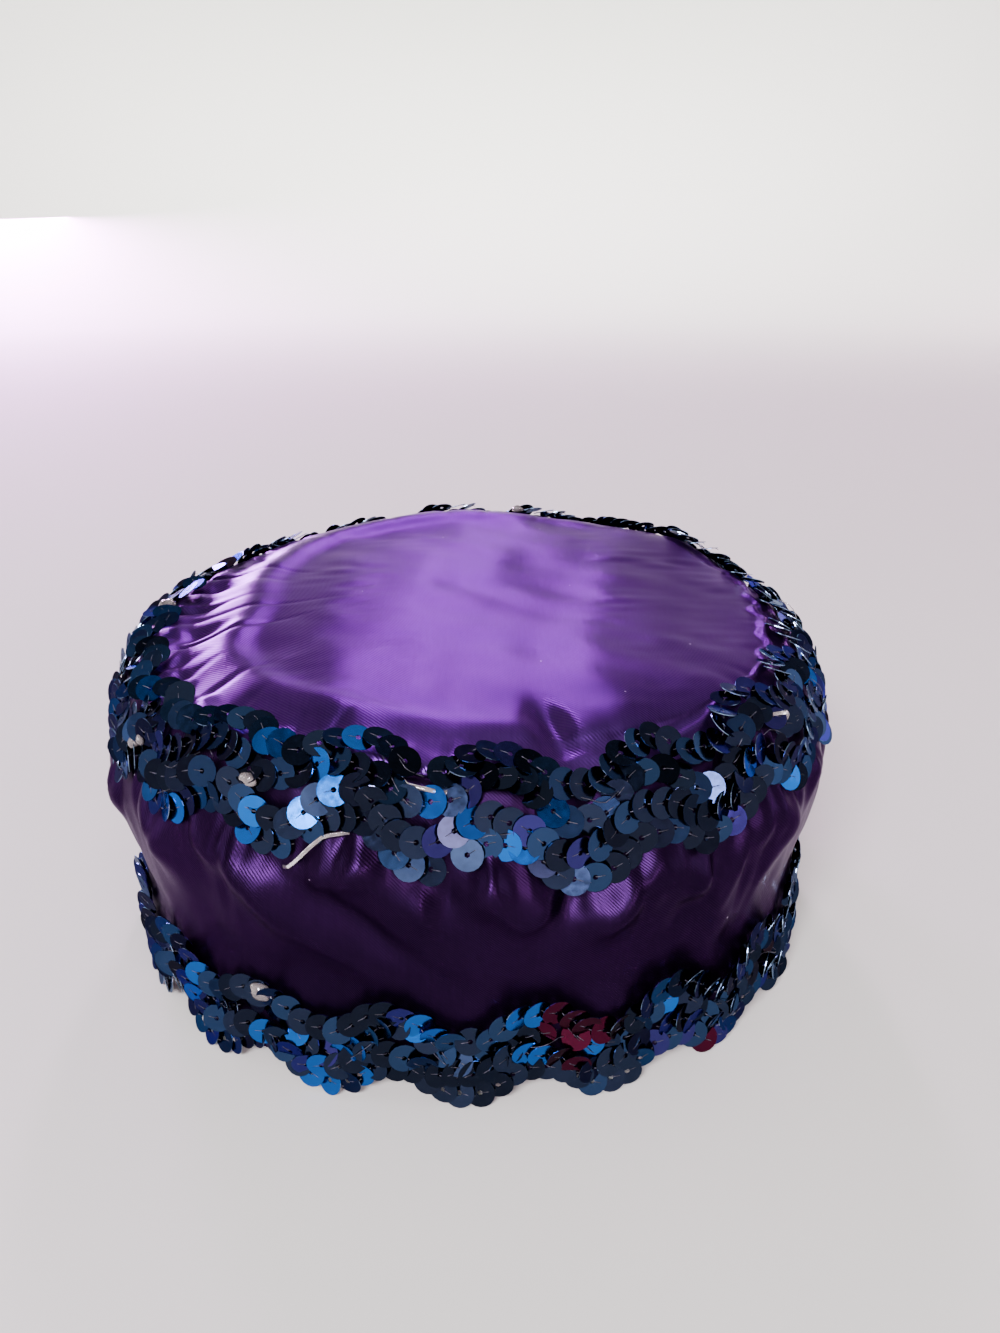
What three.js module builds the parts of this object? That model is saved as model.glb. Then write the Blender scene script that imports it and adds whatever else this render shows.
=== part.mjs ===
// A pillbox hat: a gathered satin crown and a soft satin side wall, with a wavy sequin trim
// sewn over the top edge and another round the hem. Millimetres, +Z up, the front faces -Y.
// The origin is the middle of the plane that the hat rests on.
import * as THREE from "three";

// The plan, and the heights of what is sewn to what
const halfWidth = 79; // side to side, at the satin
const halfDepth = 89.5; // front to back, at the satin
const planPower = 2.2; // 2 is an ellipse, and more squares its corners
const hemHeight = 5.2; // the hem hangs clear of the table, because the tips of its trim carry the hat
const seamHeight = 69; // where the crown meets the side wall
const rimWander = 2; // how far that seam rises and falls round the hat
const crownRise = 5.5; // from the seam to the middle of the crown
const clothThickness = 1.6;
const seamGap = 0.4; // between the edges of the crown and the side wall

// The side wall
const hemTaper = 2.5; // how far the hem is drawn in
const puffDepth = 1.6; // how far the satin swells out between the trims
const shoulderInset = 5.5; // how far the rounded top edge brings the seam in
const dragDepth = 1.4; // the deepest drag fold
const foldPeak = 0.35; // where along its length a fold is deepest
const foldFade = 0.8; // how far along from there it fades out

// The crown
const ridgeInset = 18; // from the seam in to the soft ridge of the crown
const puckerDepth = 1.5; // the deepest pucker at the seam
const puckerWidth = 8; // across one pucker
const puckerPeak = 0.55; // where along its reach a pucker is deepest
const puckerFade = 0.6;

// The trims
const trimGap = 0.5; // from the satin to the back of a trim
const backingThickness = 1;
const waveCount = 20; // waves round the hat, the same in both trims
const waveDepth = 2.7; // from a trim's middle line to the top of its wave
const topTrimWidth = 22;
const topTrimDrop = 17.5; // from the seam down to the middle line of the trim's lower edge
const hemTrimWidth = 18;
const topTrimTip = -1; // where one of its lowest tips is, in columns from the front
const hemTrimTip = 0;
const sequinRows = 4;
const sequinLift = 2.1; // how far the raised side of a sequin stands off the backing
const tuckLift = 0.35; // and its tucked side
const valleyShare = 0.35; // how much of that lift is left between two rows
const overhang = 0.14; // how far a raised side reaches over the next sequin, in sequin pitches
const edgeJag = 0.8; // how far the edge sequins stand past the backing's edge

// Mesh fineness
const columnsPerWave = 4;

// Rows from hem to seam. up is a share of the wall's height. taper, puff and shoulder are shares of
// hemTaper, puffDepth and shoulderInset.
const wallSections = [
  { up: 0, taper: 1, puff: 0, shoulder: 0 },
  { up: 0.17, taper: 1, puff: 0, shoulder: 0 },
  { up: 0.31, taper: 0.85, puff: 0.05, shoulder: 0 },
  { up: 0.43, taper: 0.4, puff: 0.5, shoulder: 0 },
  { up: 0.56, taper: 0.1, puff: 1, shoulder: 0 },
  { up: 0.69, taper: 0, puff: 0.95, shoulder: 0 },
  { up: 0.8, taper: 0, puff: 0.3, shoulder: 0.02 },
  { up: 0.89, taper: 0, puff: 0, shoulder: 0.18 },
  { up: 0.955, taper: 0, puff: 0, shoulder: 0.5 },
  { up: 1, taper: 0, puff: 0, shoulder: 1 },
];

// Rows from seam to middle. toRidge is a share of the way to the ridge, then toMiddle of the way from
// the ridge to the middle. rise is a share of crownRise.
const crownSections = [
  { toRidge: 0.3, toMiddle: 0, rise: 0.27 },
  { toRidge: 0.65, toMiddle: 0, rise: 0.48 },
  { toRidge: 1, toMiddle: 0, rise: 0.66 },
  { toRidge: 1, toMiddle: 0.18, rise: 0.74 },
  { toRidge: 1, toMiddle: 0.55, rise: 0.9 },
  { toRidge: 1, toMiddle: 1, rise: 1 },
];

// The rim's rise and fall. angle is in degrees from the front towards +X, lift a share of rimWander.
const rimLine = [
  { angle: -150, lift: -1 },
  { angle: -125, lift: -1.3 },
  { angle: -85, lift: -0.6 },
  { angle: -54, lift: -0.9 },
  { angle: -36, lift: 0.6 },
  { angle: -15, lift: 1.3 },
  { angle: -2, lift: 0.1 },
  { angle: 14, lift: -1.4 },
  { angle: 28, lift: -0.8 },
  { angle: 43, lift: 0.9 },
  { angle: 80, lift: -0.2 },
  { angle: 118, lift: -1 },
  { angle: 134, lift: 0.6 },
  { angle: 153, lift: -0.3 },
  { angle: 180, lift: 0.9 },
];

// The ridge lies further in on one side. inset is a share of ridgeInset.
const ridgeLine = [
  { angle: -150, inset: 0.95 },
  { angle: -120, inset: 1.15 },
  { angle: -85, inset: 1.25 },
  { angle: -55, inset: 1 },
  { angle: -20, inset: 0.9 },
  { angle: 5, inset: 0.75 },
  { angle: 30, inset: 0.5 },
  { angle: 90, inset: 0.55 },
  { angle: 135, inset: 0.6 },
  { angle: 180, inset: 0.8 },
];

// Puckers of the crown at its seam. reach is a share of the way to the ridge, depth of puckerDepth.
const puckers = [
  { angle: -128, reach: 0.8, depth: 0.6 },
  { angle: -108, reach: 0.9, depth: 0.8 },
  { angle: -92, reach: 0.7, depth: 0.7 },
  { angle: -76, reach: 1, depth: 1 },
  { angle: -58, reach: 0.6, depth: 0.6 },
  { angle: -22, reach: 0.6, depth: 0.6 },
  { angle: 13, reach: 1.7, depth: 1 },
  { angle: 29, reach: 1, depth: 0.5 },
  { angle: 62, reach: 1.2, depth: 0.5 },
  { angle: 84, reach: 1, depth: 0.6 },
  { angle: 118, reach: 1, depth: 0.5 },
  { angle: 160, reach: 0.9, depth: 0.6 },
];

// Folds of the side wall under the top trim. from and to are shares of the wall's height, lean is in
// degrees from one to the other, width in shares of puckerWidth and depth of dragDepth, a groove below 0.
const wallFolds = [
  { angle: -150, from: 0.75, to: 0.3, lean: 14, width: 1.4, depth: 0.7 },
  { angle: -112, from: 0.75, to: 0.4, lean: -10, width: 1.2, depth: -0.6 },
  { angle: -74, from: 0.76, to: 0.35, lean: 12, width: 1.4, depth: 0.6 },
  { angle: -36, from: 0.76, to: 0.3, lean: 26, width: 1.5, depth: 0.9 },
  { angle: -22, from: 0.7, to: 0.25, lean: 24, width: 1.2, depth: -0.8 },
  { angle: -5, from: 0.74, to: 0.5, lean: 6, width: 1, depth: -0.9 },
  { angle: 4, from: 0.74, to: 0.5, lean: 2, width: 1, depth: 1 },
  { angle: 14, from: 0.74, to: 0.52, lean: -4, width: 0.9, depth: -0.8 },
  { angle: 23, from: 0.76, to: 0.45, lean: -6, width: 1.1, depth: 0.9 },
  { angle: 37, from: 0.78, to: 0.35, lean: -16, width: 1.2, depth: -0.8 },
  { angle: 52, from: 0.78, to: 0.4, lean: -14, width: 1.4, depth: 0.8 },
  { angle: 88, from: 0.75, to: 0.4, lean: -8, width: 1.3, depth: -0.5 },
  { angle: 122, from: 0.75, to: 0.3, lean: 12, width: 1.4, depth: 0.7 },
  { angle: 158, from: 0.75, to: 0.35, lean: -10, width: 1.2, depth: -0.6 },
];

const seamStation = wallSections.length - 1;
const ridgeStation = wallSections.length + crownSections.findIndex((row) => row.toRidge === 1);
const fullTurn = 360;
const columns = columnsPerWave * waveCount; // round the hat
const pitch = fullTurn / columns; // degrees from one column to the next

const satin = new THREE.MeshStandardMaterial({ color: 0x4a2370, roughness: 0.38, metalness: 0.1 });
const sequins = new THREE.MeshStandardMaterial({
  color: 0x14304f,
  roughness: 0.22,
  metalness: 0.7,
  flatShading: true,
});

// The turn from one angle to another, in degrees from -180 to 180.
function turn(from, to) {
  return THREE.MathUtils.euclideanModulo(to - from + fullTurn / 2, fullTurn) - fullTurn / 2;
}

// A bump that is 1 at 0 and fades to nothing at about 1 either way.
function bump(x) {
  return Math.exp(-4 * x * x);
}

// The satin's distance from the axis in plan.
function planRadius(angle) {
  const a = THREE.MathUtils.degToRad(angle);
  const across = Math.pow(Math.abs(Math.sin(a)) / halfWidth, planPower);
  const along = Math.pow(Math.abs(Math.cos(a)) / halfDepth, planPower);
  return Math.pow(across + along, -1 / planPower);
}

// A table's column at an angle, eased from each row to the next round the hat.
function around(table, column, angle) {
  const past = table.map((row) => THREE.MathUtils.euclideanModulo(angle - row.angle, fullTurn));
  const before = past.indexOf(Math.min(...past));
  const row = table[before];
  const next = table[(before + 1) % table.length];
  const span = THREE.MathUtils.euclideanModulo(next.angle - row.angle, fullTurn);
  const share = THREE.MathUtils.smoothstep(past[before] / span, 0, 1);
  return THREE.MathUtils.lerp(row[column], next[column], share);
}

// The satin at one angle, as a line of stations from the hem up over the shoulder and in to the middle
// of the crown. A place's x is its distance from the axis and its y its height.
class Section {
  constructor(angle) {
    this.angle = angle;
    this.radius = planRadius(angle);
    const rimHeight = seamHeight + rimWander * around(rimLine, "lift", angle);
    const ridge = ridgeInset * around(ridgeLine, "inset", angle);
    const knots = wallSections.map(
      ({ up, taper, puff, shoulder }) =>
        new THREE.Vector2(
          this.radius - taper * hemTaper + puff * puffDepth - shoulder * shoulderInset,
          THREE.MathUtils.lerp(hemHeight, rimHeight, up),
        ),
    );
    for (const { toRidge, toMiddle, rise } of crownSections) {
      const ridged = this.radius - shoulderInset - toRidge * ridge;
      knots.push(
        new THREE.Vector2(
          ridged * (1 - toMiddle),
          THREE.MathUtils.lerp(rimHeight, seamHeight + crownRise, rise),
        ),
      );
    }
    const distances = [0];
    for (let k = 1; k < knots.length; k++) {
      distances.push(distances[k - 1] + knots[k].distanceTo(knots[k - 1]));
    }
    this.seam = distances[seamStation];
    this.ridge = distances[ridgeStation];
    const curve = new THREE.SplineCurve(knots);
    this.stations = knots.map((knot, k) => {
      const tangent = curve.getTangent(k / (knots.length - 1));
      const normal = new THREE.Vector2(tangent.y, -tangent.x);
      const place = knot.clone().addScaledVector(normal, this.folds(distances[k]));
      return { distance: distances[k], place, normal };
    });
  }

  // How far folds and puckers move the satin out at a distance from the hem, here or at an angle near.
  folds(distance, here = this.angle) {
    const across = (angle) => (THREE.MathUtils.degToRad(turn(angle, here)) * this.radius) / puckerWidth;
    if (distance <= this.seam) {
      const up = distance / this.seam;
      return wallFolds.reduce((sum, fold) => {
        const down = (fold.from - up) / (fold.from - fold.to);
        const side = across(fold.angle + fold.lean * down) / fold.width;
        return sum + fold.depth * dragDepth * bump(side) * bump((down - foldPeak) / foldFade);
      }, 0);
    }
    const inward = (distance - this.seam) / (this.ridge - this.seam);
    return puckers.reduce(
      (sum, { angle, reach, depth }) =>
        sum - depth * puckerDepth * bump(across(angle)) * bump((inward / reach - puckerPeak) / puckerFade),
      0,
    );
  }

  // How much further a trim stands off the satin here, because it bridges what it is too stiff to follow.
  bridge(distance) {
    const near = [-pitch, 0, pitch].map((step) => this.folds(distance, this.angle + step));
    return Math.max(...near) - this.folds(distance);
  }

  // The point at a distance from the hem, lifted off the satin. Below the hem it goes straight down.
  point(distance, lift) {
    const held = THREE.MathUtils.clamp(distance, 0, this.stations.at(-1).distance);
    const next = Math.max(1, this.stations.findIndex((station) => station.distance >= held));
    const low = this.stations[next - 1];
    const high = this.stations[next];
    const share = (held - low.distance) / (high.distance - low.distance);
    const onSatin = low.normal.clone().lerp(high.normal, share).normalize();
    const normal = distance < 0 ? new THREE.Vector2(1, 0) : onSatin;
    const place = low.place.clone().lerp(high.place, share).addScaledVector(normal, lift);
    const a = THREE.MathUtils.degToRad(this.angle);
    return new THREE.Vector3(
      place.x * Math.sin(a),
      -place.x * Math.cos(a),
      Math.max(place.y + Math.min(distance, 0), 0),
    );
  }
}

const knownSections = new Map();
function sectionAt(angle) {
  const key = turn(0, angle).toFixed(6);
  if (!knownSections.has(key)) knownSections.set(key, new Section(angle));
  return knownSections.get(key);
}

// A closed surface through rings of points. Rings run round the hat, and the last ring joins the first
// unless poles closes both ends. Equal points become one vertex, so a ring may repeat a point.
function skin(rings, poles) {
  const places = [];
  const known = new Map();
  const vertex = (point) => {
    const key = point.toArray().map((x) => x.toFixed(4)).join(" ");
    if (!known.has(key)) {
      known.set(key, places.length / 3);
      places.push(...point.toArray());
    }
    return known.get(key);
  };
  const rows = rings.map((ring) => ring.map(vertex));
  const index = [];
  const face = (a, b, c) => {
    if (a !== b && b !== c && c !== a) {
      index.push(a, b, c);
    }
  };
  const count = rows[0].length;
  const joins = poles ? rows.length - 1 : rows.length;
  for (let r = 0; r < joins; r++) {
    const low = rows[r];
    const high = rows[(r + 1) % rows.length];
    for (let i = 0; i < count; i++) {
      const j = (i + 1) % count;
      face(low[i], low[j], high[j]);
      face(low[i], high[j], high[i]);
    }
  }
  const geometry = new THREE.BufferGeometry();
  geometry.setAttribute("position", new THREE.Float32BufferAttribute(places, 3));
  geometry.setIndex(index);
  geometry.computeVertexNormals();
  return geometry;
}

// The angle of a column. The columns stand half a pitch either side of the front.
function columnAngle(column) {
  return (column + 0.5) * pitch;
}

// One ring of points round the hat: where(section) gives the distance along it, lift is off the satin.
function ring(where, lift) {
  return Array.from({ length: columns }, (_, i) => {
    const section = sectionAt(columnAngle(i));
    return section.point(where(section), lift);
  });
}

// The side wall: rings up the outside to the seam, then down the inside.
function sideWall() {
  const outside = wallSections.map((_, station) => (section) =>
    station === seamStation ? section.seam - seamGap / 2 : section.stations[station].distance,
  );
  const inside = outside.filter((_, station) => station === 0 || station % 2 === seamStation % 2);
  return skin([
    ...outside.map((where) => ring(where, 0)),
    ...inside.reverse().map((where) => ring(where, -clothThickness)),
  ]);
}

// The crown: rings out from the middle underneath, then back in from the seam on top.
function crown() {
  const inward = [
    (section) => section.seam + seamGap / 2,
    ...crownSections.slice(0, -1).map((_, i) => (section) => section.stations[seamStation + 1 + i].distance),
  ];
  const middle = new THREE.Vector3(0, 0, seamHeight + crownRise);
  const underMiddle = middle.clone().setZ(middle.z - clothThickness);
  return skin(
    [
      Array(columns).fill(underMiddle),
      ...inward.toReversed().map((where) => ring(where, -clothThickness)),
      ...inward.map((where) => ring(where, 0)),
      Array(columns).fill(middle),
    ],
    true,
  );
}

// How far a wave has gone towards its lowest tip, from -1 to 1. A tip is flat from one column to the next.
function wave(angle, tip) {
  const swing = Math.cos(THREE.MathUtils.degToRad(waveCount * (angle - tip * pitch)));
  return THREE.MathUtils.clamp(swing / Math.cos(Math.PI / columnsPerWave), -1, 1);
}

// A sequin trim: overlapping sequins in rows on a wavy backing. lowerEdge(section) is where the middle
// line of its lower edge lies, as a distance from the hem.
function sequinTrim({ width, tip, lowerEdge }) {
  const lines = 2 * sequinRows;
  const edgeAt = (section) => lowerEdge(section) - waveDepth * wave(section.angle, tip);
  const onTrim = (section, distance, standing) =>
    section.point(distance, trimGap + section.bridge(Math.max(distance, 0)) + standing);
  const rowPhase = (row) => (THREE.MathUtils.clamp(row, 0, sequinRows - 1) % 2) / 2;
  const front = Array.from({ length: lines + 1 }, (_, line) => {
    const onRow = line % 2 === 1;
    const row = (line - 1) / 2; // a whole number on a row, and halfway between two rows
    const phase = (rowPhase(Math.floor(row)) + rowPhase(Math.ceil(row))) / 2;
    const jag = line === 0 ? -edgeJag : line === lines ? edgeJag : 0;
    return Array.from({ length: 2 * columns }, (_, i) => {
      const raised = i % 2 === 1;
      const along = Math.floor(i / 2) + phase + (raised ? 1 : 0) + (raised && onRow ? overhang : 0);
      const section = sectionAt(columnAngle(along));
      const standing = raised ? sequinLift * (onRow ? 1 : valleyShare) : tuckLift;
      const distance = edgeAt(section) + (line / lines) * width + (raised ? jag : 0);
      return onTrim(section, distance, backingThickness + standing);
    });
  });
  const backRing = (where) =>
    Array.from({ length: 2 * columns }, (_, i) => {
      const section = sectionAt(columnAngle(Math.ceil(i / 2)));
      const edge = edgeAt(section);
      return onTrim(section, THREE.MathUtils.clamp(where(section), edge, edge + width), 0);
    });
  const back = sectionAt(0).stations.map((_, i) => backRing((section) => section.stations[i].distance));
  return skin([...front, backRing(() => Infinity), ...back.reverse(), backRing(() => -Infinity)]);
}

function piece(name, geometry, material) {
  const mesh = new THREE.Mesh(geometry, material);
  mesh.name = name;
  return mesh;
}

const hat = new THREE.Group();
hat.add(piece("crown", crown(), satin));
hat.add(piece("side_wall", sideWall(), satin));
hat.add(
  piece(
    "top_trim",
    sequinTrim({
      width: topTrimWidth,
      tip: topTrimTip,
      lowerEdge: (section) => section.seam - topTrimDrop,
    }),
    sequins,
  ),
);
hat.add(
  piece(
    "hem_trim",
    sequinTrim({
      width: hemTrimWidth,
      tip: hemTrimTip,
      lowerEdge: () => waveDepth - hemHeight,
    }),
    sequins,
  ),
);

export default hat;
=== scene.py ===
import math

import bmesh
import bpy
import numpy as np
from mathutils import Matrix, Vector


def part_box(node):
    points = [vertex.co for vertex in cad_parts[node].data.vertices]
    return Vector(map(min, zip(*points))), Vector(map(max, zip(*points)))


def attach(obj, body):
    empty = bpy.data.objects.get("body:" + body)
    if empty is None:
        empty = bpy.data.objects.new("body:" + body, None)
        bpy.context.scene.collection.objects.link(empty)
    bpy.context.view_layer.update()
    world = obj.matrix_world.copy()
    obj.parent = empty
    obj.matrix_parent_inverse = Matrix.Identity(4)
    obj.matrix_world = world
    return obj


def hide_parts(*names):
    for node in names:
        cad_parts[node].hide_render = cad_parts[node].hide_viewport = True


# metres throughout; angles run from the front of the hat (-Y) towards +X, in degrees
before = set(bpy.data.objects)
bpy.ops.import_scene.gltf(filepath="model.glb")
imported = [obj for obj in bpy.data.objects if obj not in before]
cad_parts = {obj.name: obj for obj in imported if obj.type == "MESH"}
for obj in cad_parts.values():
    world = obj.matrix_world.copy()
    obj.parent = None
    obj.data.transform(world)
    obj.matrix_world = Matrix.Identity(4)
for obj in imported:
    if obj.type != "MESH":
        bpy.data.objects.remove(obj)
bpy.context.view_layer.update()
print("frame loaded:", ", ".join(sorted(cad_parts)))


# small helpers

def ripples(x, y, size, seed):
    # smooth noise of about -1 to 1: waves of one size in every direction
    rng = np.random.default_rng(seed)
    total = np.zeros(np.broadcast(x, y).shape)
    waves = 9
    for _ in range(waves):
        heading, phase = rng.uniform(0, 2 * math.pi, 2)
        length = size * rng.uniform(0.75, 1.35)
        total += np.sin(2 * math.pi * (x * math.cos(heading) + y * math.sin(heading)) / length + phase)
    return total / waves ** 0.5


def bump(x):
    return np.exp(-4 * x * x)


def turn(fromAngle, toAngle):
    return (toAngle - fromAngle + 180) % 360 - 180


def smooth(low, high, x):
    t = np.clip((x - low) / (high - low), 0, 1)
    return t * t * (3 - 2 * t)


def mix(a, b, share):
    return a + (b - a) * share


def around(rows, angle):
    # rows of (angle, value) in order, eased from each to the next round the hat
    angles, values = np.array(rows, float).T
    angle = angle % 360
    before = (np.searchsorted(angles, angle, side="right") - 1) % len(rows)
    after = (before + 1) % len(rows)
    share = smooth(0, 1, (angle - angles[before]) % 360 / ((angles[after] - angles[before]) % 360))
    return mix(values[before], values[after], share)


def newPiece(name, points, faces, material):
    mesh = bpy.data.meshes.new(name)
    mesh.from_pydata(points.tolist(), [], faces)
    mesh.materials.append(material)
    mesh.shade_smooth()
    piece = bpy.data.objects.new(name, mesh)
    bpy.context.collection.objects.link(piece)
    return piece


def seat(piece, slot, *nodes):
    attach(piece, "root")
    if nodes:
        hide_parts(*nodes)


def link(tree, source, output, target, entry):
    tree.links.new(source.outputs[output], target.inputs[entry])


def node(tree, kind, **settings):
    made = tree.nodes.new(kind)
    for key, value in settings.items():
        setattr(made, key, value)
    return made


# the form of the hat, which every piece follows

crownLow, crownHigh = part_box("crown")
wallLow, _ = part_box("side_wall")
seamInset = 0.0055  # how far the seam lies inside the plan
seamGap = 0.0002  # half the gap that the solids leave for the seam
crownRise = 0.0055
hat = {
    "halfWidth": (crownHigh.x - crownLow.x) / 2 + seamInset + seamGap,
    "halfDepth": (crownHigh.y - crownLow.y) / 2 + seamInset + seamGap,
    "meanRadius": 0.085,  # a round stand-in for the oval, for patterns that run round it
    "planPower": 2.2,
    "hemHeight": wallLow.z,
    "seamHeight": crownHigh.z - crownRise,
    "rimWander": 0.002,
    "hemTaper": 0.0025,
    "puff": 0.0016,
    "ridgeInset": 0.018,
    "cloth": 0.0016,
}
# (angle, share of rimWander) and (angle, share of ridgeInset)
rimLine = [(14, -1.4), (28, -0.8), (43, 0.9), (80, -0.2), (118, -1), (134, 0.6), (153, -0.3), (180, 0.9),
           (210, -1), (235, -1.3), (275, -0.6), (306, -0.9), (324, 0.6), (345, 1.3), (358, 0.1)]
ridgeLine = [(5, 0.75), (30, 0.5), (90, 0.55), (135, 0.6), (180, 0.8),
             (210, 0.95), (240, 1.15), (275, 1.25), (305, 1), (340, 0.9)]
# up, taper, puff, shoulder: shares of the wall's height, hemTaper, puff and seamInset
wallSections = [
    (0, 1, 0, 0), (0.17, 1, 0, 0), (0.31, 0.85, 0.05, 0), (0.43, 0.4, 0.5, 0), (0.56, 0.1, 1, 0),
    (0.69, 0, 0.95, 0), (0.8, 0, 0.3, 0.02), (0.89, 0, 0, 0.18), (0.955, 0, 0, 0.5), (1, 0, 0, 1)]
# toRidge, toMiddle, rise: shares of the way to the ridge, of the way on to the middle, and of crownRise
crownSections = [(0.3, 0, 0.27), (0.65, 0, 0.48), (1, 0, 0.66), (1, 0.18, 0.74), (1, 0.55, 0.9), (1, 1, 1)]
seamKnot = len(wallSections) - 1
ridgeKnot = seamKnot + 3


def planRadius(angle):
    a = np.radians(angle)
    across = (np.abs(np.sin(a)) / hat["halfWidth"]) ** hat["planPower"]
    along = (np.abs(np.cos(a)) / hat["halfDepth"]) ** hat["planPower"]
    return (across + along) ** (-1 / hat["planPower"])


def sectionKnots(angle):
    # distance from the axis and height of each knot of the section at these angles
    radius = planRadius(angle)
    rim = hat["seamHeight"] + hat["rimWander"] * around(rimLine, angle)
    ridge = hat["ridgeInset"] * around(ridgeLine, angle)
    knots = []
    for up, taper, puff, shoulder in wallSections:
        out = radius - taper * hat["hemTaper"] + puff * hat["puff"] - shoulder * seamInset
        knots.append(np.stack([out, mix(hat["hemHeight"], rim, up)], -1))
    for toRidge, toMiddle, rise in crownSections:
        out = (radius - seamInset - toRidge * ridge) * (1 - toMiddle)
        knots.append(np.stack([out, mix(rim, hat["seamHeight"] + crownRise, rise)], -1))
    return np.stack(knots, 1)


def section(angle, t):
    # the smooth satin at angles (A) and knot numbers (S): place, outward normal, and distance from the hem
    knots = sectionKnots(angle)
    last = knots.shape[1] - 1
    i = np.clip(np.floor(t).astype(int), 0, last - 1)
    f = (t - i)[None, :, None]
    p0, p1 = knots[:, np.maximum(i - 1, 0)], knots[:, i]
    p2, p3 = knots[:, i + 1], knots[:, np.minimum(i + 2, last)]
    v0, v1 = (p2 - p0) / 2, (p3 - p1) / 2
    a, b = 2 * p1 - 2 * p2 + v0 + v1, -3 * p1 + 3 * p2 - 2 * v0 - v1
    place = a * f ** 3 + b * f ** 2 + v0 * f + p1
    tangent = 3 * a * f ** 2 + 2 * b * f + v0
    tangent /= np.linalg.norm(tangent, axis=-1, keepdims=True) + 1e-12
    normal = np.stack([tangent[..., 1], -tangent[..., 0]], -1)
    steps = np.linalg.norm(np.diff(place, axis=1), axis=-1)
    distance = np.concatenate([np.zeros((len(angle), 1)), np.cumsum(steps, 1)], 1)
    return place, normal, distance


def toSpace(angle, place):
    a = np.radians(angle)
    return np.stack([place[..., 0] * np.sin(a), -place[..., 0] * np.cos(a), place[..., 1]], -1)


# the waves of both trims, with the shares of azure, violet and maroon sequins as rows of (angle, share); the
# azure sequins, most of them at the front, are painted glints, and the maroon ones a painted reflection of
# something red

trimWaves = {"count": 20, "height": 0.0027}
topTrim = {
    "name": "topSequins", "node": "top_trim", "tip": -4.5, "drop": 0.0175, "rows": 4, "seed": 21,
    "width": 0.022, "backNarrowing": 0.24,
    "azure": [(5, 0.2), (20, 0.05), (60, 0.06), (110, 0.02), (180, 0.03), (280, 0.01), (325, 0.06),
              (345, 0.24)],
    "violet": [(0, 0.08), (30, 0.05), (70, 0.1), (180, 0.05), (300, 0.05)],
    "maroon": [(0, 0), (50, 0), (90, 0.03), (180, 0.01), (300, 0)],
}
hemTrim = {
    "name": "hemSequins", "node": "hem_trim", "tip": 0, "rows": 4, "seed": 22,
    "width": 0.018, "backNarrowing": 0,
    "azure": [(6, 0.25), (20, 0.04), (90, 0.02), (180, 0.03), (300, 0.02), (335, 0.06), (350, 0.2)],
    "violet": [(0, 0.05), (60, 0.06), (180, 0.05), (315, 0.08)],
    "maroon": [(3, 0.02), (14, 0.16), (30, 0.02), (45, 0.12), (75, 0.01), (180, 0.01), (340, 0)],
}


def trimWave(angle, tip):
    # how far a wave of a trim has gone towards its lowest tip, from -1 to 1
    return np.clip(np.cos(np.radians(trimWaves["count"] * (angle - tip))) * math.sqrt(2), -1, 1)


def trimEdge(trim, angle, seam):
    # how far a trim's lower edge is from the hem along the satin, with the seam as far as stated
    middle = seam - trim["drop"] if trim is topTrim else trimWaves["height"] - hat["hemHeight"]
    return middle - trimWaves["height"] * trimWave(angle, trim["tip"])


# folds and gathers of the satin

folds = {
    "depth": 0.0021,
    "width": 0.008,
    "gatherDepth": 0.0011,
    "gatherReach": 0.015,
    "gatherWidths": (0.0018, 0.0036),
    "gathers": 58,
    "swagDepth": 0.0006,
    "swagDrop": 0.009,
    "swagWidth": 0.006,
    "swell": 0.0006,
    "swellDrop": 0.007,
    "swellReach": 0.012,
    "pillow": 0.0023,
    "pillowDrop": 0.005,
    "pillowReach": 0.009,
    "wrinkle": 0.00035,
    "seed": 11,
}
crownFolds = {
    "puckerDepth": 0.0015,
    "gatherDepth": 0.0013,
    "gatherWidths": (0.002, 0.004),
    "gathers": 40,
    "ridge": 0.0011,
    "ridgeDip": 0.0009,
    "roll": 0.0012,
    "backRise": 0.0021,
    "undulation": 0.0006,
    "stroke": 0.00003,
    "ripple": 0.00012,
    "seed": 12,
}
# (angle, from, to, lean, width, depth): shares of the wall's height, degrees, shares of width and depth
wallFolds = [
    (-150, 0.75, 0.3, 14, 1.4, 0.7), (-112, 0.75, 0.4, -10, 1.2, -0.6), (-74, 0.76, 0.35, 12, 1.4, 0.6),
    (-36, 0.76, 0.3, 26, 1.5, 0.9), (-22, 0.7, 0.25, 24, 1.2, -0.8), (-5, 0.74, 0.5, 6, 1, -0.9),
    (4, 0.74, 0.5, 2, 1, 1), (14, 0.74, 0.52, -4, 0.9, -0.8), (23, 0.76, 0.45, -6, 1.1, 0.9),
    (37, 0.78, 0.35, -16, 1.2, -0.8), (52, 0.78, 0.4, -14, 1.4, 0.8), (88, 0.75, 0.4, -8, 1.3, -0.5),
    (122, 0.75, 0.3, 12, 1.4, 0.7), (158, 0.75, 0.35, -10, 1.2, -0.6)]
# (angle, reach, depth): shares of the way to the ridge and of puckerDepth
crownPuckers = [
    (-128, 0.8, 0.6), (-108, 0.9, 0.8), (-92, 0.7, 0.7), (-76, 1, 1), (-58, 0.6, 0.6), (-22, 0.6, 0.6),
    (13, 1.9, 1.5), (29, 1, 0.5), (62, 1.2, 0.5), (84, 1, 0.6), (118, 1, 0.5), (160, 0.9, 0.6)]
# (angle, half width in degrees, depth, drop): satin that hangs in a swag between two stitches of the trim
swags = [
    (-31, 7, 0.9, 0.8), (-15, 6, 1.1, 0.9), (-9, 4, 0.7, 0.6), (0, 3.4, 0.8, 0.8), (6.3, 3.6, 1.5, 1.25),
    (12, 3, 0.6, 0.6), (18, 4.5, 0.9, 0.7), (26, 4, 1.2, 1), (33, 4, 0.7, 1.4), (41, 6, 0.9, 1)]
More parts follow.
